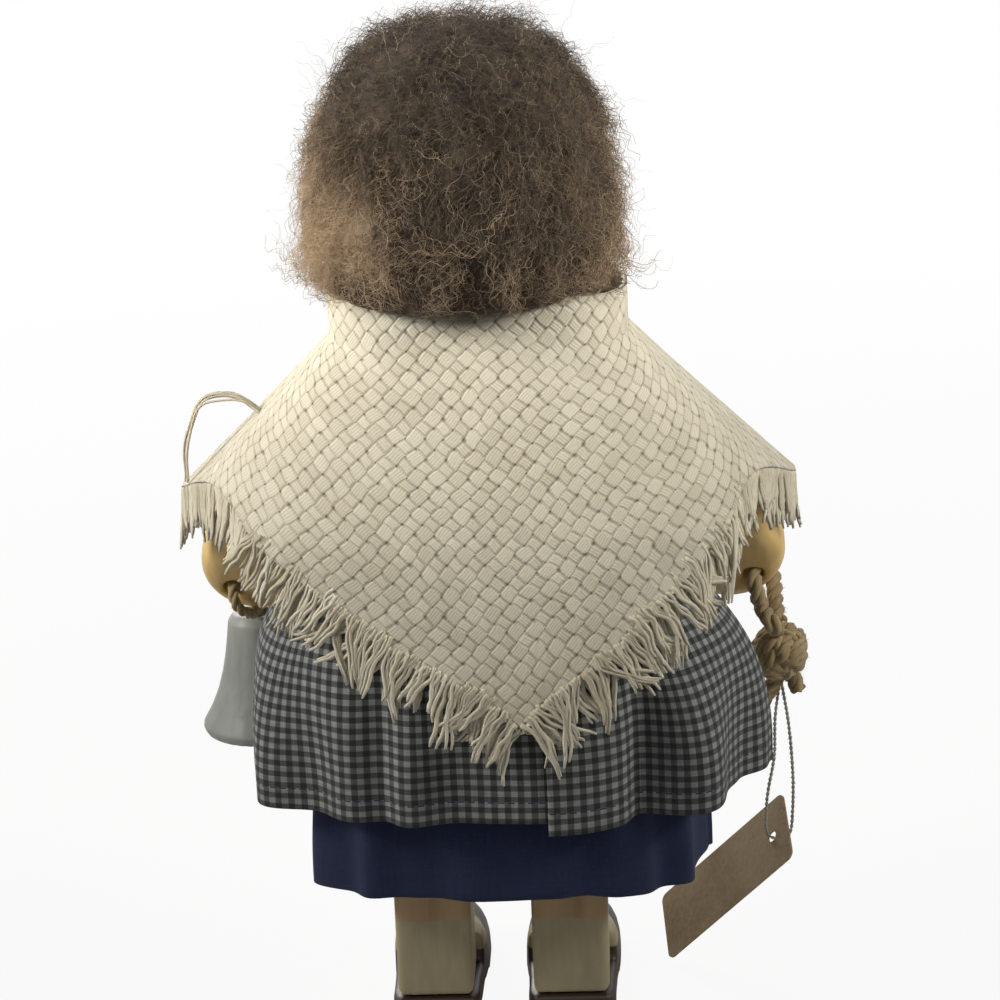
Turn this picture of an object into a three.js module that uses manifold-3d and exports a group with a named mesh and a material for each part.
// A jointed wooden doll, about ten inches tall, in a checked dress and a fringed shawl.
// Millimetres, +Z up, the floor at z = 0. The doll faces -Y, so its own left is +X.
import * as THREE from "three";
import { mergeVertices } from "three/addons/utils/BufferGeometryUtils.js";
import Module from "manifold-3d";

const wasm = await Module();
wasm.setup();

// Clearances
const FIT_GAP = 0.3; // glued or seated faces
const CLOTH_GAP = 0.45; // cloth over what it rests on

// Shoes and legs
const SHOE_HEEL_Y = 10.8;
const SHOE_LENGTH = 53.3;
const SHOE_TOE_WIDTH = 24.6;
const SHOE_HEEL_WIDTH = 22;
const SHOE_HEEL_HEIGHT = 6.6;
const SHOE_TOE_HEIGHT = 17.5;
const INSTEP_START = 6; // behind the leg's front
const INSTEP_RUN = 12; // before it
const LEG_WIDTH = 19;
const LEG_DEPTH = 20;
const LEG_EDGE_ROUND = 1.6;
const HIP_HEIGHT = 74;
const HIP_DOWEL_DIAMETER = 9.5;
const ANKLE_DOWEL_DIAMETER = 6.35;
const ANKLE_DOWEL_LENGTH = 18;
const SOLE_UNDER_DOWEL = 2;

// Body, head and neck
const TONGUE_WIDTH = 14.4;
const TONGUE_DROP = 11; // below the hip axis
const SEAT_CLEARANCE = 1.5; // above the rounded leg tops
const TORSO_DEPTH = 30;
const TORSO_HIP_WIDTH = 52;
const TORSO_SHOULDER_WIDTH = 37;
const TORSO_TOP = 184;
const TORSO_EDGE_ROUND = 3;
const TORSO_SHOULDER_ROUND = 8;
const HIP_BLOCK_HEIGHT = 12; // the torso's straight part above the seat
const SHOULDER_BLOCK_DROP = 24; // the straight part below the shoulder axis
const NECK_DOWEL_DIAMETER = 12.7;
const NECK_DOWEL_LENGTH = 34;
const NECK_SOCKET_DEPTH = 16;
const HEAD_WIDTH = 57;
const HEAD_HEIGHT = 57;
const HEAD_GAP = 2.6; // between the shoulders and the chin, bridged by the dowel
const CHIN_LAND = 4; // flat round the dowel's bore

// Arms
const SHOULDER_DROP = 17; // of the arms' axis, below the torso's top
const SHOULDER_Y = 2;
const SHOULDER_RADIUS = 7.5;
const ARM_THICKNESS = 15;
const ARM_EDGE_ROUND = 4;
const ARM_TILT_DEG = 26; // forward, at rest
const HAND_X = 59;
const HAND_REACH = 60; // shoulder axis to hand centre, along the arm
const HAND_RADIUS = 14;
const HAND_HOLE_DIAMETER = 5.6;
const HAND_HOLE_OUT = 6;
const HAND_HOLE_DOWN = 5;
const PEG_DIAMETER = 6.35;
const PEG_HEAD_DIAMETER = 11;
const PEG_HEAD_HEIGHT = 3.4;
const PEG_DEPTH = 12; // of the shank inside the torso
const PEG_CLEARANCE = 0.35;

// Clothes
const BODICE_CLOTH = 1.1;
const BODICE_BOTTOM = 118;
const BODICE_NECK_DROP = 3; // below the torso's top
const ARMHOLE_RADIUS = 5.5;
const SLEEVE_CLOTH = 1.2;
const SLEEVE_TOP = 19; // below the shoulder axis, along the arm
const SLEEVE_CUFF = 34;
const SLEEVE_FLARE = 0.6;
const SLEEVE_EASE = 0.35;
const SKIRT_CLOTH = 1.2;
const SKIRT_FRONT_SQUARENESS = 1.7; // both skirts slope away under the hands
const DRESS_WAIST = 128;
const DRESS_HEM = 65.5;
const DRESS_HEM_WIDTH = 125;
const DRESS_HEM_BACK = 37; // half depth behind the middle
const DRESS_HEM_FRONT = 35.6; // half depth before the middle, where the hands hang
const DRESS_CENTRE_X = -2.5;
const DRESS_CENTRE_Y = 4;
const DRESS_BACK_SQUARENESS = 2.15;
const DRESS_FOLDS = 9;
const DRESS_FOLD_DEPTH = 3.2;
const DRESS_OVERLAP_DEG = 13;
const DRESS_OPENING_DEG = -9; // from the middle of the back, towards the right
const DRESS_OVERLAP_DROP = 3;
const UNDERSKIRT_WAIST = 112;
const UNDERSKIRT_HEM = 42.5;
const UNDERSKIRT_HEM_WIDTH = 98;
const UNDERSKIRT_HEM_BACK = 33;
const UNDERSKIRT_HEM_FRONT = 25;
const UNDERSKIRT_BACK_SQUARENESS = 3;
const UNDERSKIRT_FOLDS = 11;
const UNDERSKIRT_FOLD_DEPTH = 2.4;
const SHAWL_CLOTH = 1.8;
const SHAWL_COLLAR = 3; // above the torso's top
const SHAWL_NECK_TUCK = 1.3; // of the neck's sides, inside the shoulders' outer faces
const SHAWL_NECK_DEPTH = 18.2; // half, at the back
const SHAWL_FRONT_DEPTH = 33; // half, at the front
const SHAWL_SPREAD = 149;
const SHAWL_SIDE_DROP = 53; // of the cut edge at the sides, below the collar
const SHAWL_EDGE_LIFT = 24; // how far the straight cut edge rises as it rounds the back
const SHAWL_TIP_DROP = 104;
const SHAWL_TIP_X = -9.5;
const SHAWL_BACK_BEND = 1.8; // how soon the back runs straight down
const SHAWL_FLARE_DROP = 11;
const SHAWL_END_DEG = 196; // the two ends cross at the front
const SHAWL_END_DROP = 44;
const SHAWL_END_HEIGHT = 9;
const SHAWL_CROSSING = 2.8;
const HAIR_WIDTH = 77;
const HAIR_SHIFT = 3; // of the bob, towards the doll's left
const HAIR_DEPTH = 72;
const HAIR_HEIGHT = 63;
const HAIR_GAP = 4.4; // above the torso's top
const FACE_WIDTH = 49;
const FACE_BROW_DROP = 20; // below the hair's top
const FACE_DROP = 8; // of the face opening, below the hair
const FACE_SCOOP = 6; // of the opening's middle, before the hair

// Bell, ropes and tag
const BELL_INWARDS = 4; // from the hand's hole
const BELL_FORWARDS = 5;
const BELL_HANG = 13.1; // of the bell's top, below the hole
const BELL_HEIGHT = 31.5;
const BELL_MOUTH_DIAMETER = 31;
const BELL_CROWN_DIAMETER = 15;
const BELL_WALL = 3;
const BELL_EDGE_ROUND = 2;
const BELL_CORD_DIAMETER = 2.8;
const BELL_CORD_SPACING = 3.5;
const BELL_CORD_HOLE = 7.2;
const CORD_STAND_OFF = 1.6; // of a cord's bend from the hand's face
const CORD_BULGE = 3.6;
const BELL_CORD_TURN_DROP = 3; // of the bend, below the hole
const BELL_CORD_MEET_DROP = 6.5; // where the two runs draw together
const ROPE_MEET_DROP = 11;
const STOP_KNOT_DIAMETER = 8.6;
const ROPE_DIAMETER = 4.2;
const ROPE_KNOT_RADIUS = 7.6;
const ROPE_TAIL = 8.5;
const ROPE_CUT_END = 3;
const ROPE_KNOT_FROM_HOLE = new THREE.Vector3(-6, 8, -22.6);
const STRING_DIAMETER = 0.9;
const STRING_GAP = 0.8; // under the knot it is tied to
const TAG_LENGTH = 49.5;
const TAG_WIDTH = 21;
const TAG_THICKNESS = 0.5;
const TAG_CORNER = new THREE.Vector3(-41.8, -20, 1); // the corner that rests on the floor
const TAG_TURN_DEG = 25.7; // about the vertical
const TAG_SLOPE_DEG = 45.4;
const TAG_LEAN_DEG = 50.7; // of its upper edge, forwards
const TAG_HOLE_DIAMETER = 3;
const TAG_HOLE_INSET = 6;
const TAG_CORNER_RADIUS = 2;

const WOOD = finish(0xc9a06f, 0.55);
const SKIN_PAINT = finish(0xd9ad7d, 0.38);
const SHOE_PAINT = finish(0x2d231c, 0.5);
const BELL_PAINT = finish(0x8f918d, 0.6);
const GINGHAM = finish(0x6a6a72, 0.9);
const NAVY_COTTON = finish(0x252c52, 0.92);
const SHAWL_YARN = finish(0xcfc3a8, 0.95);
const WOOL = finish(0x4a3f38, 1);
const JUTE = finish(0x9c8464, 0.95);
const CARD = finish(0xcdb48c, 0.85);
const COTTON_STRING = finish(0xd8d2c2, 0.9);

const doll = new THREE.Group();
const radians = THREE.MathUtils.degToRad;
const smooth = THREE.MathUtils.smoothstep;
const lerp = THREE.MathUtils.lerp;

// Heights that go with the torso's top
const shoulderHeight = TORSO_TOP - SHOULDER_DROP;
const bodiceTop = TORSO_TOP - BODICE_NECK_DROP;
const shawlTop = TORSO_TOP + SHAWL_COLLAR;
const shawlSideEdge = shawlTop - SHAWL_SIDE_DROP;
const shawlTip = shawlTop - SHAWL_TIP_DROP;
const shawlFlareTop = shawlTop - SHAWL_FLARE_DROP;
const shawlEndTop = shawlTop - SHAWL_END_DROP;
const hairBottom = TORSO_TOP + HAIR_GAP;
const hairTop = hairBottom + HAIR_HEIGHT;
const faceTop = hairTop - FACE_BROW_DROP;

function finish(color, roughness) {
  return new THREE.MeshStandardMaterial({ color, roughness, metalness: 0 });
}

// Adds a named piece to a group.
function piece(name, geometry, material, parent = doll) {
  const mesh = new THREE.Mesh(geometry, material);
  mesh.name = name;
  parent.add(mesh);
  return mesh;
}

// A closed surface as merged triangles that face outwards.
function closed(geometry) {
  const bare = geometry.clone();
  bare.deleteAttribute("normal");
  bare.deleteAttribute("uv");
  const merged = mergeVertices(bare, 1e-4);
  const at = (i) => new THREE.Vector3().fromBufferAttribute(merged.attributes.position, i);
  const index = merged.index.array;
  let volume = 0;
  for (let i = 0; i < index.length; i += 3) {
    volume += at(index[i]).dot(at(index[i + 1]).cross(at(index[i + 2])));
  }
  if (volume < 0) {
    for (let i = 0; i < index.length; i += 3) {
      [index[i + 1], index[i + 2]] = [index[i + 2], index[i + 1]];
    }
  }
  merged.computeVertexNormals();
  return merged;
}

function solidOf(geometry) {
  const shape = closed(geometry);
  return new wasm.Manifold(
    new wasm.Mesh({
      numProp: 3,
      vertProperties: new Float32Array(shape.attributes.position.array),
      triVerts: new Uint32Array(shape.index.array),
    }),
  );
}

function geometryOf(solid) {
  const mesh = solid.getMesh();
  const geometry = new THREE.BufferGeometry();
  geometry.setAttribute("position", new THREE.BufferAttribute(new Float32Array(mesh.vertProperties), 3));
  geometry.setIndex(new THREE.BufferAttribute(new Uint32Array(mesh.triVerts), 1));
  geometry.computeVertexNormals();
  return geometry;
}

function cut(geometry, ...tools) {
  return geometryOf(tools.reduce((solid, tool) => solid.subtract(solidOf(tool)), solidOf(geometry)));
}

function join(geometry, ...others) {
  return geometryOf(others.reduce((solid, other) => solid.add(solidOf(other)), solidOf(geometry)));
}

// An outline extruded along an axis and centred on it; the edges are rounded inside the outline.
// Seen along X the outline's axes are Y and Z, seen along Y they are X and Z.
function board(outline, depth, axis, round = 0, roundSteps = 2, curveSteps = 8) {
  const geometry = new THREE.ExtrudeGeometry(outline, {
    depth: depth - 2 * round,
    bevelEnabled: round > 0,
    bevelThickness: round,
    bevelSize: round,
    bevelOffset: -round,
    bevelSegments: roundSteps,
    curveSegments: curveSteps,
  });
  geometry.translate(0, 0, round - depth / 2);
  const turn = new THREE.Matrix4();
  if (axis === "x") {
    turn.makeBasis(new THREE.Vector3(0, 1, 0), new THREE.Vector3(0, 0, 1), new THREE.Vector3(1, 0, 0));
  } else if (axis === "y") {
    turn.makeBasis(new THREE.Vector3(1, 0, 0), new THREE.Vector3(0, 0, 1), new THREE.Vector3(0, -1, 0));
  }
  return geometry.applyMatrix4(turn);
}

// A straight round rod between two points.
function rod(from, to, radius, sides = 20) {
  const along = to.clone().sub(from);
  const geometry = new THREE.CylinderGeometry(radius, radius, along.length(), sides);
  const turn = new THREE.Quaternion().setFromUnitVectors(new THREE.Vector3(0, 1, 0), along.normalize());
  const middle = from.clone().lerp(to, 0.5);
  return geometry.applyQuaternion(turn).translate(middle.x, middle.y, middle.z);
}

// A profile of (radius, height) points turned about the vertical axis.
function turned(profile, segments) {
  const points = profile.map(([radius, height]) => new THREE.Vector2(radius, height));
  return closed(new THREE.LatheGeometry(points, segments).rotateX(Math.PI / 2));
}

// A round cord along a smooth curve through points.
function cord(points, radius, sides, steps) {
  const section = new THREE.Shape(
    Array.from({ length: sides }, (_, i) => {
      const angle = (2 * Math.PI * i) / sides;
      return new THREE.Vector2(radius * Math.cos(angle), radius * Math.sin(angle));
    }),
  );
  const extrudePath = new THREE.CatmullRomCurve3(points, false, "centripetal");
  return closed(new THREE.ExtrudeGeometry(section, { steps, extrudePath }));
}

// Cloth with a thickness: place(u, v) is its outer face, with u and v from 0 to 1.
// A cloth that is closed runs round as a ring in u.
function cloth(place, thickness, uSteps, vSteps, isRing) {
  const step = 1e-3;
  const columns = isRing ? uSteps : uSteps + 1;
  const rows = vSteps + 1;
  const outer = [];
  const inner = [];
  for (let i = 0; i < columns; i += 1) {
    for (let j = 0; j < rows; j += 1) {
      const u = i / uSteps;
      const v = j / vSteps;
      const point = place(u, v);
      const low = isRing ? u - step : Math.max(0, u - step);
      const high = isRing ? u + step : Math.min(1, u + step);
      const acrossU = place(high, v).sub(place(low, v));
      const acrossV = place(u, Math.min(1, v + step)).sub(place(u, Math.max(0, v - step)));
      const inwards = acrossV.cross(acrossU).normalize();
      outer.push(point);
      inner.push(point.clone().addScaledVector(inwards, thickness));
    }
  }
  const at = (i, j) => (i % columns) * rows + j;
  const count = outer.length;
  const faces = [];
  const quad = (a, b, c, d) => faces.push(a, b, c, a, c, d);
  const spans = isRing ? columns : columns - 1;
  for (let i = 0; i < spans; i += 1) {
    for (let j = 0; j < vSteps; j += 1) {
      quad(at(i, j), at(i, j + 1), at(i + 1, j + 1), at(i + 1, j));
      quad(count + at(i, j), count + at(i + 1, j), count + at(i + 1, j + 1), count + at(i, j + 1));
    }
    quad(at(i, 0), at(i + 1, 0), count + at(i + 1, 0), count + at(i, 0));
    quad(at(i, vSteps), count + at(i, vSteps), count + at(i + 1, vSteps), at(i + 1, vSteps));
  }
  if (!isRing) {
    for (let j = 0; j < vSteps; j += 1) {
      quad(at(0, j), count + at(0, j), count + at(0, j + 1), at(0, j + 1));
      quad(at(spans, j), at(spans, j + 1), count + at(spans, j + 1), count + at(spans, j));
    }
  }
  const geometry = new THREE.BufferGeometry();
  const flat = [...outer, ...inner].flatMap((p) => p.toArray());
  geometry.setAttribute("position", new THREE.Float32BufferAttribute(flat, 3));
  geometry.setIndex(faces);
  return closed(geometry);
}

// A point of a rounded oblong (a superellipse) at an angle from the back, turning towards +X.
function oblong(angle, halfWidth, halfDepth, squareness) {
  const power = 2 / squareness;
  const sine = Math.sin(angle);
  const cosine = Math.cos(angle);
  return new THREE.Vector2(
    halfWidth * Math.sign(sine) * Math.abs(sine) ** power,
    halfDepth * Math.sign(cosine) * Math.abs(cosine) ** power,
  );
}

// Half the side of an oblong that just clears a rectangle's corner, as a share of the rectangle's.
function cornerShare(squareness) {
  return 2 ** (1 / squareness);
}

// Torso: one sawn board, tapered to the shoulders, with a tongue between the legs
const tongueHalf = TONGUE_WIDTH / 2;
const legX = tongueHalf + FIT_GAP + LEG_WIDTH / 2;
const legTop = HIP_HEIGHT + LEG_DEPTH / 2;
const seat = legTop + SEAT_CLEARANCE;
const hipHalf = TORSO_HIP_WIDTH / 2;
const shoulderHalf = TORSO_SHOULDER_WIDTH / 2;
const hipLine = seat + HIP_BLOCK_HEIGHT;
const shoulderLine = shoulderHeight - SHOULDER_BLOCK_DROP;

function torsoHalfWidth(z) {
  return lerp(hipHalf, shoulderHalf, THREE.MathUtils.clamp((z - hipLine) / (shoulderLine - hipLine), 0, 1));
}

function torsoOutline(grow, bottom, top) {
  const half = (z) => torsoHalfWidth(z) + grow;
  const levels = [bottom, hipLine, shoulderLine, top].filter((z) => z >= bottom && z <= top);
  const right = levels.map((z) => new THREE.Vector2(half(z), z));
  const left = [...right].reverse().map((p) => new THREE.Vector2(-p.x, p.y));
  return new THREE.Shape([...right, ...left]);
}

const shoulderRound = TORSO_SHOULDER_ROUND;
const shoulderArcX = shoulderHalf - shoulderRound;
const shoulderArcZ = TORSO_TOP - shoulderRound;
const torsoShape = new THREE.Shape();
torsoShape.moveTo(-tongueHalf, HIP_HEIGHT - TONGUE_DROP);
torsoShape.lineTo(tongueHalf, HIP_HEIGHT - TONGUE_DROP);
torsoShape.lineTo(tongueHalf, seat);
torsoShape.lineTo(hipHalf, seat);
torsoShape.lineTo(hipHalf, hipLine);
torsoShape.lineTo(shoulderHalf, shoulderLine);
torsoShape.lineTo(shoulderHalf, shoulderArcZ);
torsoShape.absarc(shoulderArcX, shoulderArcZ, shoulderRound, 0, Math.PI / 2);
torsoShape.lineTo(-shoulderArcX, TORSO_TOP);
torsoShape.absarc(-shoulderArcX, shoulderArcZ, shoulderRound, Math.PI / 2, Math.PI);
torsoShape.lineTo(-shoulderHalf, shoulderLine);
torsoShape.lineTo(-hipHalf, hipLine);
torsoShape.lineTo(-hipHalf, seat);
torsoShape.lineTo(-tongueHalf, seat);

const hipReach = legX + LEG_WIDTH / 2;
const hipLeft = new THREE.Vector3(hipReach, 0, HIP_HEIGHT);
const hipRight = new THREE.Vector3(-hipReach, 0, HIP_HEIGHT);
const armInnerX = shoulderHalf + BODICE_CLOTH + 2 * FIT_GAP + FIT_GAP;
const pegInner = shoulderHalf - PEG_DEPTH;
const neckBottom = TORSO_TOP - NECK_SOCKET_DEPTH;
const neckTop = neckBottom + NECK_DOWEL_LENGTH;

const torsoBoard = board(torsoShape, TORSO_DEPTH, "y", TORSO_EDGE_ROUND);
const hipBore = rod(hipLeft, hipRight, HIP_DOWEL_DIAMETER / 2 + FIT_GAP);
const neckBore = rod(
  new THREE.Vector3(0, 0, neckBottom - FIT_GAP),
  new THREE.Vector3(0, 0, TORSO_TOP + shoulderRound),
  NECK_DOWEL_DIAMETER / 2 + FIT_GAP,
);
const pegBores = [1, -1].map((side) =>
  rod(
    new THREE.Vector3(side * (pegInner - FIT_GAP), SHOULDER_Y, shoulderHeight),
    new THREE.Vector3(side * armInnerX, SHOULDER_Y, shoulderHeight),
    PEG_DIAMETER / 2 + FIT_GAP,
  ),
);
piece("torso_block", cut(torsoBoard, hipBore, neckBore, ...pegBores), WOOD);
piece(
  "neck_dowel",
  rod(new THREE.Vector3(0, 0, neckBottom), new THREE.Vector3(0, 0, neckTop), NECK_DOWEL_DIAMETER / 2),
  WOOD,
);
piece("hip_dowel", rod(hipLeft, hipRight, HIP_DOWEL_DIAMETER / 2), WOOD);

// Head: a turned ball, flattened under the chin and bored for the neck dowel
const headBottom = TORSO_TOP + HEAD_GAP;
const headCentre = headBottom + HEAD_HEIGHT / 2;
const neckBoreRadius = NECK_DOWEL_DIAMETER / 2 + FIT_GAP;
const chinRadius = neckBoreRadius + CHIN_LAND;

function headProfile(grow) {
  const profile = [];
  const steps = 11;
  const startAngle = -Math.acos(chinRadius / (HEAD_WIDTH / 2));
  for (let i = 0; i <= steps; i += 1) {
    const angle = lerp(startAngle, Math.PI / 2, i / steps);
    const radius = i === steps ? 0 : (HEAD_WIDTH / 2 + grow) * Math.cos(angle);
    profile.push([radius, headCentre + (HEAD_HEIGHT / 2 + grow) * Math.sin(angle)]);
  }
  return profile;
}

const ball = headProfile(0);
const chin = ball[0][1];
piece(
  "head_block",
  turned([[0, neckTop + FIT_GAP], [neckBoreRadius, neckTop + FIT_GAP], [neckBoreRadius, chin], ...ball], 24),
  SKIN_PAINT,
);

// Hair: a thick wool bob that leaves the face open
const hairRadius = HAIR_WIDTH / 2;
const hairProfile = [[0, hairBottom], [0.82 * hairRadius, hairBottom]];
for (let i = 0; i <= 8; i += 1) {
  const angle = (Math.PI / 2) * (i / 8);
  const radius = i === 8 ? 0 : hairRadius * Math.cos(angle) ** 0.62;
  hairProfile.push([radius, hairBottom + HAIR_HEIGHT * (0.16 + 0.84 * Math.sin(angle) ** 0.94)]);
}
const hairMass = turned(hairProfile, 24).scale(1, HAIR_DEPTH / HAIR_WIDTH, 1).translate(HAIR_SHIFT, 0, 0);
const underHair = hairBottom - HAIR_HEIGHT;
const headRoom = turned([[0, underHair], [chinRadius, underHair], ...headProfile(FIT_GAP)], 24);
const faceLow = hairBottom - FACE_DROP;
const faceReach = HAIR_DEPTH / 2 + FACE_SCOOP;
const facePlan = new THREE.SphereGeometry(1, 16, 10)
  .scale(FACE_WIDTH / 2, faceReach, (faceTop - faceLow) / 2)
  .translate(0, -faceReach, (faceTop + faceLow) / 2);
piece("hair_wig", cut(hairMass, headRoom, facePlan), WOOL);

// Arms: sawn boards with a broad round hand, each on a headed peg in the torso's side
const handU = HAND_X - armInnerX;
const armTilt = radians(ARM_TILT_DEG);

// The point where a line from a point touches a circle, on the side given by turn.
function touchPoint(from, centre, radius, turn) {
  const away = centre.clone().sub(from);
  const angle = Math.atan2(away.y, away.x) + turn * Math.asin(radius / away.length());
  const reach = Math.sqrt(away.lengthSq() - radius * radius);
  return new THREE.Vector2(from.x + reach * Math.cos(angle), from.y + reach * Math.sin(angle));
}

const handCentre = new THREE.Vector2(handU, -HAND_REACH);
const shoulderCentre = new THREE.Vector2(SHOULDER_RADIUS, 0);
const armpit = new THREE.Vector2(0, -SHOULDER_RADIUS - 2);
const innerTouch = touchPoint(armpit, handCentre, HAND_RADIUS, -1);
const armRun = handCentre.clone().sub(shoulderCentre);
const outerAngle =
  Math.atan2(armRun.y, armRun.x) + Math.acos((SHOULDER_RADIUS - HAND_RADIUS) / armRun.length());
const outerTop = new THREE.Vector2(Math.cos(outerAngle), Math.sin(outerAngle));

const armShape = new THREE.Shape();
armShape.moveTo(armpit.x, armpit.y);
armShape.lineTo(0, 0);
armShape.absarc(shoulderCentre.x, shoulderCentre.y, SHOULDER_RADIUS, Math.PI, outerAngle, true);
armShape.lineTo(handCentre.x + HAND_RADIUS * outerTop.x, handCentre.y + HAND_RADIUS * outerTop.y);
const innerAngle = Math.atan2(innerTouch.y - handCentre.y, innerTouch.x - handCentre.x);
armShape.absarc(handCentre.x, handCentre.y, HAND_RADIUS, outerAngle, innerAngle, true);

const holeU = handU + HAND_HOLE_OUT;
const holeW = -HAND_REACH - HAND_HOLE_DOWN;
const pegHeadSeat = 2 * SHOULDER_RADIUS - PEG_HEAD_HEIGHT;
const armBoard = board(armShape, ARM_THICKNESS, "y", ARM_EDGE_ROUND, 2, 9);
const armDrilled = cut(
  armBoard,
  rod(new THREE.Vector3(-1, 0, 0), new THREE.Vector3(handU, 0, 0), PEG_DIAMETER / 2 + PEG_CLEARANCE),
  rod(
    new THREE.Vector3(pegHeadSeat, 0, 0),
    new THREE.Vector3(handU, 0, 0),
    PEG_HEAD_DIAMETER / 2 + PEG_CLEARANCE,
  ),
  rod(
    new THREE.Vector3(holeU, -ARM_THICKNESS, holeW),
    new THREE.Vector3(holeU, ARM_THICKNESS, holeW),
    HAND_HOLE_DIAMETER / 2,
    16,
  ),
);

// The arm's inner and outer edge at a place along it.
function armEdge(w) {
  const outerStart = shoulderCentre.clone().addScaledVector(outerTop, SHOULDER_RADIUS);
  const outerEnd = handCentre.clone().addScaledVector(outerTop, HAND_RADIUS);
  const along = (a, b) => lerp(a.x, b.x, (w - a.y) / (b.y - a.y));
  return [along(armpit, innerTouch), along(outerStart, outerEnd)];
}

const sleeveSquareness = 4.5;
function sleevePlace(u, v) {
  const w = -lerp(SLEEVE_TOP, SLEEVE_CUFF, v);
  const [inner, outer] = armEdge(w);
  const flare = SLEEVE_FLARE * smooth(v, 0.35, 1);
  const grow = FIT_GAP + SLEEVE_EASE + SLEEVE_CLOTH;
  const half = (outer - inner) / 2 + grow + flare;
  const depth = ARM_THICKNESS / 2 + grow + flare;
  const place = oblong(2 * Math.PI * u, half, depth, sleeveSquareness);
  return new THREE.Vector3((inner + outer) / 2 + place.x, place.y, w);
}
const sleeveTube = cloth(sleevePlace, SLEEVE_CLOTH, 20, 3, true);

const pegShank = armInnerX - pegInner + pegHeadSeat + PEG_CLEARANCE;
const pegRadius = PEG_DIAMETER / 2;
const pegHeadRadius = PEG_HEAD_DIAMETER / 2;
const pegProfile = [[0, 0], [pegRadius, 0], [pegRadius, pegShank], [pegHeadRadius, pegShank]];
for (let i = 1; i <= 4; i += 1) {
  const angle = (Math.PI / 2) * (i / 4);
  const radius = i === 4 ? 0 : pegHeadRadius * Math.cos(angle);
  pegProfile.push([radius, pegShank + 1 + (PEG_HEAD_HEIGHT - 1) * Math.sin(angle)]);
}
const axlePeg = turned(pegProfile, 20).rotateY(Math.PI / 2);

for (const [sideName, side] of [["left", 1], ["right", -1]]) {
  const shoulder = new THREE.Group();
  shoulder.position.set(side * armInnerX, SHOULDER_Y, shoulderHeight);
  shoulder.rotation.x = -armTilt;
  doll.add(shoulder);
  const sided = (geometry) => closed(geometry.clone().scale(side, 1, 1));
  piece(`${sideName}_arm`, sided(armDrilled), SKIN_PAINT, shoulder);
  piece(`${sideName}_sleeve`, sided(sleeveTube), GINGHAM, shoulder);
  const peg = piece(`${sideName}_shoulder_peg`, sided(axlePeg), WOOD);
  peg.position.set(side * pegInner, SHOULDER_Y, shoulderHeight);
}

// Legs and shoes: square legs with round tops on one hip dowel, doweled into carved shoes
const legBottom = SHOE_HEEL_HEIGHT + FIT_GAP;
const legShape = new THREE.Shape();
legShape.moveTo(-LEG_DEPTH / 2, legBottom);
legShape.lineTo(LEG_DEPTH / 2, legBottom);
legShape.lineTo(LEG_DEPTH / 2, HIP_HEIGHT);
legShape.absarc(0, HIP_HEIGHT, LEG_DEPTH / 2, 0, Math.PI);
const ankleBottom = SOLE_UNDER_DOWEL + FIT_GAP;
const ankleTop = ankleBottom + ANKLE_DOWEL_LENGTH;
const ankleBore = rod(
  new THREE.Vector3(0, 0, SOLE_UNDER_DOWEL),
  new THREE.Vector3(0, 0, ankleTop + FIT_GAP),
  ANKLE_DOWEL_DIAMETER / 2 + FIT_GAP,
  16,
);
const legBore = rod(
  new THREE.Vector3(-LEG_WIDTH, 0, HIP_HEIGHT),
  new THREE.Vector3(LEG_WIDTH, 0, HIP_HEIGHT),
  HIP_DOWEL_DIAMETER / 2 + FIT_GAP,
);
const leg = cut(board(legShape, LEG_WIDTH, "x", LEG_EDGE_ROUND, 2, 10), ankleBore, legBore);

// The shoe's half width and height at a place along it, from heel to toe.
const heelFront = LEG_DEPTH / 2 + FIT_GAP;
const toeY = SHOE_HEEL_Y - SHOE_LENGTH;
const instepRise = 0.82;
function shoeSection(y) {
  const toward = smooth(-y, heelFront - INSTEP_START, heelFront + INSTEP_RUN);
  const widest = lerp(SHOE_HEEL_WIDTH, SHOE_TOE_WIDTH, toward) / 2;
  const tipStart = toeY + SHOE_TOE_WIDTH / 2;
  const tip = Math.max(0, (tipStart - y) / (tipStart - toeY));
  const heel = Math.max(0, (y - SHOE_HEEL_Y + 4) / 4);
  const halfWidth = widest * Math.sqrt(1 - 0.94 * tip ** 2.4) * (1 - 0.16 * heel ** 2);
  const crown = instepRise + (1 - instepRise) * Math.sin(Math.PI * smooth(-y, heelFront, -toeY) ** 0.7);
  const toeHeight = SHOE_TOE_HEIGHT * crown * Math.sqrt(1 - 0.9 * tip ** 2.2);
  const height = -y < heelFront ? SHOE_HEEL_HEIGHT : toeHeight;
  return { halfWidth, height, squareness: lerp(14, 2.5, toward) };
}

function shoeGeometry() {
  const across = 14;
  const heelStations = [SHOE_HEEL_Y, SHOE_HEEL_Y - 1.2, SHOE_HEEL_Y - 4, 0, -heelFront + 0.02];
  const toeStations = Array.from({ length: 10 }, (_, i) => lerp(-heelFront - 0.02, toeY, (i / 9) ** 0.85));
  const points = [];
  const stations = [...heelStations, ...toeStations];
  for (const y of stations) {
    const { halfWidth, height, squareness } = shoeSection(y);
    for (let i = 0; i <= across; i += 1) {
      const over = oblong(lerp(-Math.PI / 2, Math.PI / 2, i / across), halfWidth, height, squareness);
      points.push(over.x, y, over.y);
    }
  }
  const columns = across + 1;
  const faces = [];
  for (let s = 0; s < stations.length - 1; s += 1) {
    for (let i = 0; i < columns; i += 1) {
      const next = (i + 1) % columns;
      const a = s * columns;
      const b = a + columns;
      faces.push(a + i, b + i, b + next, a + i, b + next, a + next);
    }
  }
  const last = (stations.length - 1) * columns;
  for (let i = 1; i < across; i += 1) {
    faces.push(0, i, i + 1, last, last + i + 1, last + i);
  }
  const geometry = new THREE.BufferGeometry();
  geometry.setAttribute("position", new THREE.Float32BufferAttribute(points, 3));
  geometry.setIndex(faces);
  return closed(geometry);
}
const shoe = cut(shoeGeometry(), ankleBore);
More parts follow.
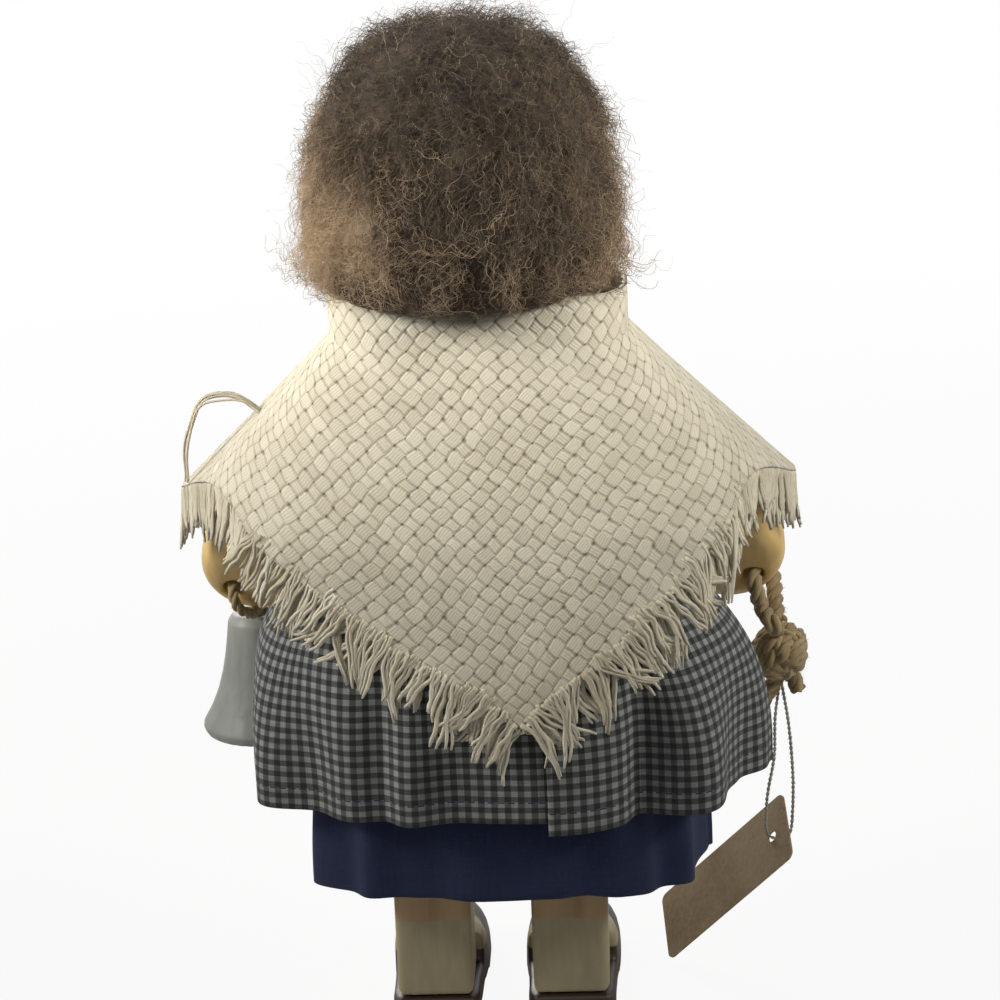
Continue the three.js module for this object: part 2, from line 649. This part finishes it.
const ankleDowel = rod(
  new THREE.Vector3(0, 0, ankleBottom),
  new THREE.Vector3(0, 0, ankleTop),
  ANKLE_DOWEL_DIAMETER / 2,
  16,
);

for (const [sideName, side] of [["left", 1], ["right", -1]]) {
  const stance = new THREE.Group();
  stance.position.x = side * legX;
  doll.add(stance);
  piece(`${sideName}_leg`, leg.clone(), WOOD, stance);
  piece(`${sideName}_shoe`, shoe.clone(), SHOE_PAINT, stance);
  piece(`${sideName}_ankle_dowel`, ankleDowel.clone(), WOOD, stance);
}

// Dress bodice: a fitted tube over the torso with holes for the shoulder pegs
const bodiceGrow = FIT_GAP + BODICE_CLOTH;
const bodiceOuter = board(
  torsoOutline(bodiceGrow, BODICE_BOTTOM, bodiceTop),
  TORSO_DEPTH + 2 * bodiceGrow,
  "y",
);
const bodiceInner = board(
  torsoOutline(FIT_GAP, BODICE_BOTTOM - bodiceGrow, bodiceTop + bodiceGrow),
  TORSO_DEPTH + 2 * FIT_GAP,
  "y",
);
const armholes = rod(
  new THREE.Vector3(-TORSO_HIP_WIDTH, SHOULDER_Y, shoulderHeight),
  new THREE.Vector3(TORSO_HIP_WIDTH, SHOULDER_Y, shoulderHeight),
  ARMHOLE_RADIUS,
);
piece("dress_bodice", cut(bodiceOuter, bodiceInner, armholes), GINGHAM);

// Underskirt: a gathered navy tube from the torso's waist
const waistSquareness = 7;
const waistRoom = cornerShare(waistSquareness);
const underWaistHalf = torsoHalfWidth(UNDERSKIRT_WAIST) * waistRoom + SKIRT_CLOTH + CLOTH_GAP;
const underWaistDepth = (TORSO_DEPTH / 2) * waistRoom + SKIRT_CLOTH + CLOTH_GAP;

// How square a skirt is in plan, between its hem and its waist.
function skirtSquareness(hemSquareness, drawn) {
  return lerp(hemSquareness, waistSquareness, drawn ** 2);
}

function underskirtPlace(u, v) {
  const z = lerp(UNDERSKIRT_WAIST, UNDERSKIRT_HEM, v);
  const drawn = (1 - v) ** 2.5;
  const angle = 2 * Math.PI * u;
  const ripple = Math.cos(UNDERSKIRT_FOLDS * angle + 0.9 * Math.sin(angle));
  const fold = UNDERSKIRT_FOLD_DEPTH * smooth(v, 0.1, 0.8) * ripple;
  const isBack = Math.cos(angle) > 0;
  const place = oblong(
    angle,
    lerp(UNDERSKIRT_HEM_WIDTH / 2, underWaistHalf, drawn) + fold,
    lerp(isBack ? UNDERSKIRT_HEM_BACK : UNDERSKIRT_HEM_FRONT, underWaistDepth, drawn) + fold,
    skirtSquareness(isBack ? UNDERSKIRT_BACK_SQUARENESS : SKIRT_FRONT_SQUARENESS, drawn),
  );
  return new THREE.Vector3(place.x, place.y, z);
}
piece("underskirt", cloth(underskirtPlace, SKIRT_CLOTH, 55, 5, true), NAVY_COTTON);

// Dress skirt: one full panel, lapped at the back a little to the right of the middle
const dressWaistHalf = (torsoHalfWidth(DRESS_WAIST) + bodiceGrow) * waistRoom + SKIRT_CLOTH + CLOTH_GAP;
const dressWaistDepth = (TORSO_DEPTH / 2 + bodiceGrow) * waistRoom + SKIRT_CLOTH + CLOTH_GAP;
const dressLapGap = SKIRT_CLOTH + CLOTH_GAP;

// The skirt's half width and its half depths at a height.
function dressHalf(z) {
  const drawn = THREE.MathUtils.clamp((z - DRESS_HEM) / (DRESS_WAIST - DRESS_HEM), 0, 1) ** 4;
  return {
    drawn,
    width: lerp(DRESS_HEM_WIDTH / 2, dressWaistHalf, drawn),
    back: lerp(DRESS_HEM_BACK, dressWaistDepth, drawn),
    front: lerp(DRESS_HEM_FRONT, dressWaistDepth, drawn),
  };
}

function dressPlace(u, v) {
  const lap = radians(DRESS_OVERLAP_DEG);
  const opening = radians(DRESS_OPENING_DEG);
  const turn = lerp(-lap, 2 * Math.PI, u);
  const angle = opening + turn;
  const under = 1 - smooth(turn, -lap, 3 * lap);
  const drop = DRESS_OVERLAP_DROP * smooth(u, 0.86, 1);
  const z = lerp(DRESS_WAIST, DRESS_HEM - drop, v);
  const { drawn, width, back, front } = dressHalf(z);
  const isBack = Math.cos(angle) > 0;
  const depth = isBack ? back : front;
  const ripple = Math.cos(DRESS_FOLDS * angle + 0.8 * Math.sin(2 * angle) + 2.1);
  const nearLap = smooth(turn, -lap, 3 * lap) * (1 - smooth(turn, 2 * Math.PI - 3 * lap, 2 * Math.PI));
  const fold = DRESS_FOLD_DEPTH * smooth(v, 0.25, 0.9) * ripple * nearLap;
  const grow = fold - dressLapGap * under;
  const squareness = skirtSquareness(isBack ? DRESS_BACK_SQUARENESS : SKIRT_FRONT_SQUARENESS, drawn);
  const place = oblong(angle, width + grow, depth + grow, squareness);
  const sway = DRESS_CENTRE_X * (1 - drawn) ** 5;
  return new THREE.Vector3(sway + place.x, DRESS_CENTRE_Y * (1 - drawn) + place.y, z);
}
piece("dress_skirt", cloth(dressPlace, SKIRT_CLOTH, 58, 7, false), GINGHAM);

// Shawl: a triangle of heavy cloth, its point down the back and its ends crossed at the front
const shawlEnd = radians(SHAWL_END_DEG);
const shawlSide = Math.PI / 2;
const shawlSquareness = 2.8;
const shawlNeckHalf = armInnerX + 2 * SHOULDER_RADIUS - SHAWL_NECK_TUCK;
const armLean = Math.tan(armTilt);
const overSkirt = DRESS_CENTRE_Y + DRESS_HEM_BACK + DRESS_FOLD_DEPTH + CLOTH_GAP + SHAWL_CLOTH;

function shawlPlace(u, v) {
  const angle = lerp(-shawlEnd, shawlEnd, u);
  const away = Math.abs(angle);
  const toFront = smooth(away, shawlSide, shawlEnd);
  const top = lerp(shawlTop, shawlEndTop, smooth(away, 1.35 * shawlSide, shawlEnd));
  const edge = oblong(Math.min(away, shawlSide), 1, 1, shawlSquareness);
  const backEdge = lerp(shawlTip, shawlSideEdge, edge.x) + SHAWL_EDGE_LIFT * (edge.x + edge.y - 1);
  const low = lerp(backEdge, shawlEndTop - SHAWL_END_HEIGHT, toFront);
  const z = lerp(top, low, v);
  const flare = THREE.MathUtils.clamp((shawlFlareTop - z) / (shawlFlareTop - shawlSideEdge), 0, 1);
  const halfWidth = lerp(shawlNeckHalf, SHAWL_SPREAD / 2, flare ** 1.05);
  const centreY = -armLean * 0.6 * (shawlFlareTop - shawlSideEdge) * flare;
  const fall = THREE.MathUtils.clamp((shawlTop - z) / SHAWL_TIP_DROP, 0, 1);
  const back = lerp(overSkirt, SHAWL_NECK_DEPTH, (1 - fall) ** SHAWL_BACK_BEND);
  const lowered = smooth(shawlTop - z, 0, shawlTop - shawlEndTop);
  const front = lerp(SHAWL_NECK_DEPTH, SHAWL_FRONT_DEPTH, lowered);
  const crossing = SHAWL_CROSSING * Math.sign(angle) * smooth(away, 1.5 * shawlSide, shawlEnd - 0.1);
  const halfDepth = Math.cos(angle) > 0 ? back - centreY : front + centreY + crossing + 4;
  const place = oblong(angle, halfWidth + crossing, halfDepth, shawlSquareness);
  const tipShift = SHAWL_TIP_X * Math.max(0, Math.cos(angle)) ** 2 * fall ** 1.5;
  return new THREE.Vector3(place.x + tipShift, centreY + place.y, z);
}
piece("shawl", cloth(shawlPlace, SHAWL_CLOTH, 44, 9, false), SHAWL_YARN);

// A place beside the left or right hand: out is along the arm board's own axes.
function besideHand(side, u, y, w) {
  const turn = new THREE.Euler(-armTilt, 0, 0);
  const place = new THREE.Vector3(side * u, y, w).applyEuler(turn);
  return place.add(new THREE.Vector3(side * armInnerX, SHOULDER_Y, shoulderHeight));
}

const leftHole = besideHand(1, holeU, 0, holeW);
const rightHole = besideHand(-1, holeU, 0, holeW);

// Bell: a turned, hollow bell on a loop of jute through the left hand
const bellX = leftHole.x - BELL_INWARDS;
const bellY = leftHole.y - BELL_FORWARDS;
const bellTop = leftHole.z - BELL_HANG;
const mouthRadius = BELL_MOUTH_DIAMETER / 2;
const crownRadius = BELL_CROWN_DIAMETER / 2;
const bellBottom = bellTop - BELL_HEIGHT;
const bellHole = BELL_CORD_HOLE / 2;
const bellCeiling = bellTop - BELL_WALL - BELL_EDGE_ROUND / 2;
const bellSteps = 6;

function bellWaist(share) {
  return crownRadius + (mouthRadius - crownRadius) * (0.42 * share + 0.58 * share ** 3.2);
}

const bellOutside = [];
const bellInside = [];
for (let i = 0; i <= bellSteps; i += 1) {
  const share = i / bellSteps;
  bellOutside.push([bellWaist(share), lerp(bellTop - BELL_EDGE_ROUND, bellBottom + BELL_EDGE_ROUND, share)]);
  bellInside.unshift([bellWaist(share) - BELL_WALL, lerp(bellCeiling, bellBottom, share)]);
}
const bellProfile = [
  [bellHole, bellTop],
  [crownRadius - 1.5, bellTop],
  ...bellOutside,
  [mouthRadius - 0.7, bellBottom],
  ...bellInside,
  [bellHole, bellTop - BELL_WALL],
  [bellHole, bellTop],
];
piece("bell_shell", turned(bellProfile, 24).translate(bellX, bellY, 0), BELL_PAINT);

const throughHand = ARM_THICKNESS / 2;
const knotTop = bellTop - BELL_WALL - 1.5;
const stopKnotRadius = STOP_KNOT_DIAMETER / 2;
const bellCordPoints = [
  new THREE.Vector3(bellX, bellY + BELL_CORD_SPACING / 2, knotTop),
  new THREE.Vector3(bellX, bellY + BELL_CORD_SPACING / 2, bellTop + 1),
  besideHand(1, holeU - BELL_INWARDS / 2, throughHand + CORD_BULGE / 1.5, holeW - BELL_CORD_MEET_DROP),
  besideHand(1, holeU, throughHand + CORD_BULGE, holeW - BELL_CORD_TURN_DROP),
  besideHand(1, holeU, throughHand + CORD_STAND_OFF, holeW),
  leftHole,
  besideHand(1, holeU, -throughHand - CORD_STAND_OFF, holeW),
  besideHand(1, holeU, -throughHand - CORD_BULGE, holeW - BELL_CORD_TURN_DROP),
  besideHand(1, holeU - BELL_INWARDS / 2, -throughHand - CORD_BULGE / 1.5, holeW - BELL_CORD_MEET_DROP),
  new THREE.Vector3(bellX, bellY - BELL_CORD_SPACING / 2, bellTop + 1),
  new THREE.Vector3(bellX, bellY - BELL_CORD_SPACING / 2, knotTop),
];
piece("bell_cord", cord(bellCordPoints, BELL_CORD_DIAMETER / 2, 8, 40), JUTE);
piece(
  "bell_stop_knot",
  new THREE.SphereGeometry(stopKnotRadius, 14, 10)
    .scale(1, 1, 0.85)
    .translate(bellX, bellY, knotTop - FIT_GAP - 0.85 * stopKnotRadius),
  JUTE,
);

// Hand rope: a short jute loop through the right hand, tied in one knot with two tails
const ropeRadius = ROPE_DIAMETER / 2;
const ropeOut = -0.8 * ROPE_KNOT_FROM_HOLE.x;
const ropeBulge = 1.15 * ROPE_DIAMETER;
const ropeKnot = rightHole.clone().add(ROPE_KNOT_FROM_HOLE);

function fromKnot(x, y, z, distance) {
  return new THREE.Vector3(x, y, z).normalize().multiplyScalar(distance).add(ropeKnot);
}

const ropePoints = [
  fromKnot(-0.05, -0.75, 0.75, ROPE_KNOT_RADIUS + 0.6),
  fromKnot(0.02, -0.85, 0.7, ROPE_KNOT_RADIUS + 5),
  besideHand(-1, holeU + ropeOut, -throughHand - ropeRadius, holeW - ROPE_MEET_DROP),
  besideHand(-1, holeU + ropeOut / 3, -throughHand - ropeBulge, holeW - ROPE_MEET_DROP / 2),
  besideHand(-1, holeU, -throughHand - ropeRadius - FIT_GAP, holeW),
  rightHole,
  besideHand(-1, holeU, throughHand + ropeRadius + FIT_GAP, holeW),
  besideHand(-1, holeU + ropeOut / 3, throughHand + ropeBulge, holeW - ROPE_MEET_DROP / 2),
  fromKnot(0.15, 0.62, 0.8, ROPE_KNOT_RADIUS + 5),
  fromKnot(0.1, 0.5, 0.85, ROPE_KNOT_RADIUS + 0.6),
];
piece("rope_loop", cord(ropePoints, ropeRadius, 10, 36), JUTE);

const knotBall = new THREE.SphereGeometry(ROPE_KNOT_RADIUS, 14, 9).translate(...ropeKnot.toArray());
const cutTail = cord(
  [
    ropeKnot,
    fromKnot(-0.4, 0, -0.9, ROPE_KNOT_RADIUS),
    fromKnot(-0.42, 0, -0.9, ROPE_KNOT_RADIUS + ROPE_CUT_END),
  ],
  ropeRadius,
  10,
  4,
);
const hangingTail = cord(
  [
    ropeKnot,
    fromKnot(0.12, -0.1, -0.95, ROPE_KNOT_RADIUS),
    fromKnot(0.3, -0.12, -0.95, ROPE_KNOT_RADIUS + ROPE_TAIL),
  ],
  ropeRadius,
  10,
  4,
);
piece("rope_knot", join(knotBall, cutTail, hangingTail), JUTE);

// Tag: a blank card on a cotton string, one corner on the floor beside the right shoe
const tagTurn = radians(TAG_TURN_DEG);
const tagSlope = radians(TAG_SLOPE_DEG);
const tagLevel = new THREE.Vector3(-Math.cos(tagTurn), Math.sin(tagTurn), 0);
const upright = new THREE.Vector3(0, 0, 1);
const tagAlong = tagLevel.clone().applyAxisAngle(tagLevel.clone().cross(upright), tagSlope);
const tagUp = upright.clone().applyAxisAngle(tagLevel.clone().cross(upright), tagSlope);
const tagAcross = tagUp.applyAxisAngle(tagAlong, -radians(TAG_LEAN_DEG));
const tagNormal = tagAlong.clone().cross(tagAcross);
const tagFrame = new THREE.Matrix4().makeBasis(tagAlong, tagAcross, tagNormal).setPosition(TAG_CORNER);
const tagPoint = (along, across, out) => new THREE.Vector3(along, across, out).applyMatrix4(tagFrame);

const tagShape = new THREE.Shape();
const tagFarCorner = TAG_LENGTH - TAG_CORNER_RADIUS;
const tagTopCorner = TAG_WIDTH - TAG_CORNER_RADIUS;
tagShape.absarc(TAG_CORNER_RADIUS, TAG_CORNER_RADIUS, TAG_CORNER_RADIUS, Math.PI, 1.5 * Math.PI);
tagShape.absarc(tagFarCorner, TAG_CORNER_RADIUS, TAG_CORNER_RADIUS, 1.5 * Math.PI, 2 * Math.PI);
tagShape.absarc(tagFarCorner, tagTopCorner, TAG_CORNER_RADIUS, 0, Math.PI / 2);
tagShape.absarc(TAG_CORNER_RADIUS, tagTopCorner, TAG_CORNER_RADIUS, Math.PI / 2, Math.PI);
const tagHoleAt = [TAG_LENGTH - TAG_HOLE_INSET, TAG_WIDTH / 2];
const tagHole = new THREE.Path();
tagHole.absarc(...tagHoleAt, TAG_HOLE_DIAMETER / 2, 0, 2 * Math.PI, true);
tagShape.holes.push(tagHole);
piece("tag_card", closed(board(tagShape, TAG_THICKNESS, "z", 0, 2, 6).applyMatrix4(tagFrame)), CARD);

const stringTop = fromKnot(-0.02, -0.34, -0.95, ROPE_KNOT_RADIUS + STRING_GAP + STRING_DIAMETER);
const facesBack = Math.sign(tagNormal.y);
const stringPoints = [
  stringTop,
  stringTop.clone().lerp(tagPoint(...tagHoleAt, facesBack * 4), 0.25),
  stringTop.clone().lerp(tagPoint(...tagHoleAt, facesBack * 4), 0.5).add(new THREE.Vector3(-1, 0, 0)),
  stringTop.clone().lerp(tagPoint(...tagHoleAt, facesBack * 4), 0.8).add(new THREE.Vector3(-0.6, 0, 0)),
  tagPoint(...tagHoleAt, facesBack * 1.6),
  tagPoint(...tagHoleAt, facesBack * -1.6),
];
piece("tag_string", cord(stringPoints, STRING_DIAMETER / 2, 8, 20), COTTON_STRING);

export default doll;
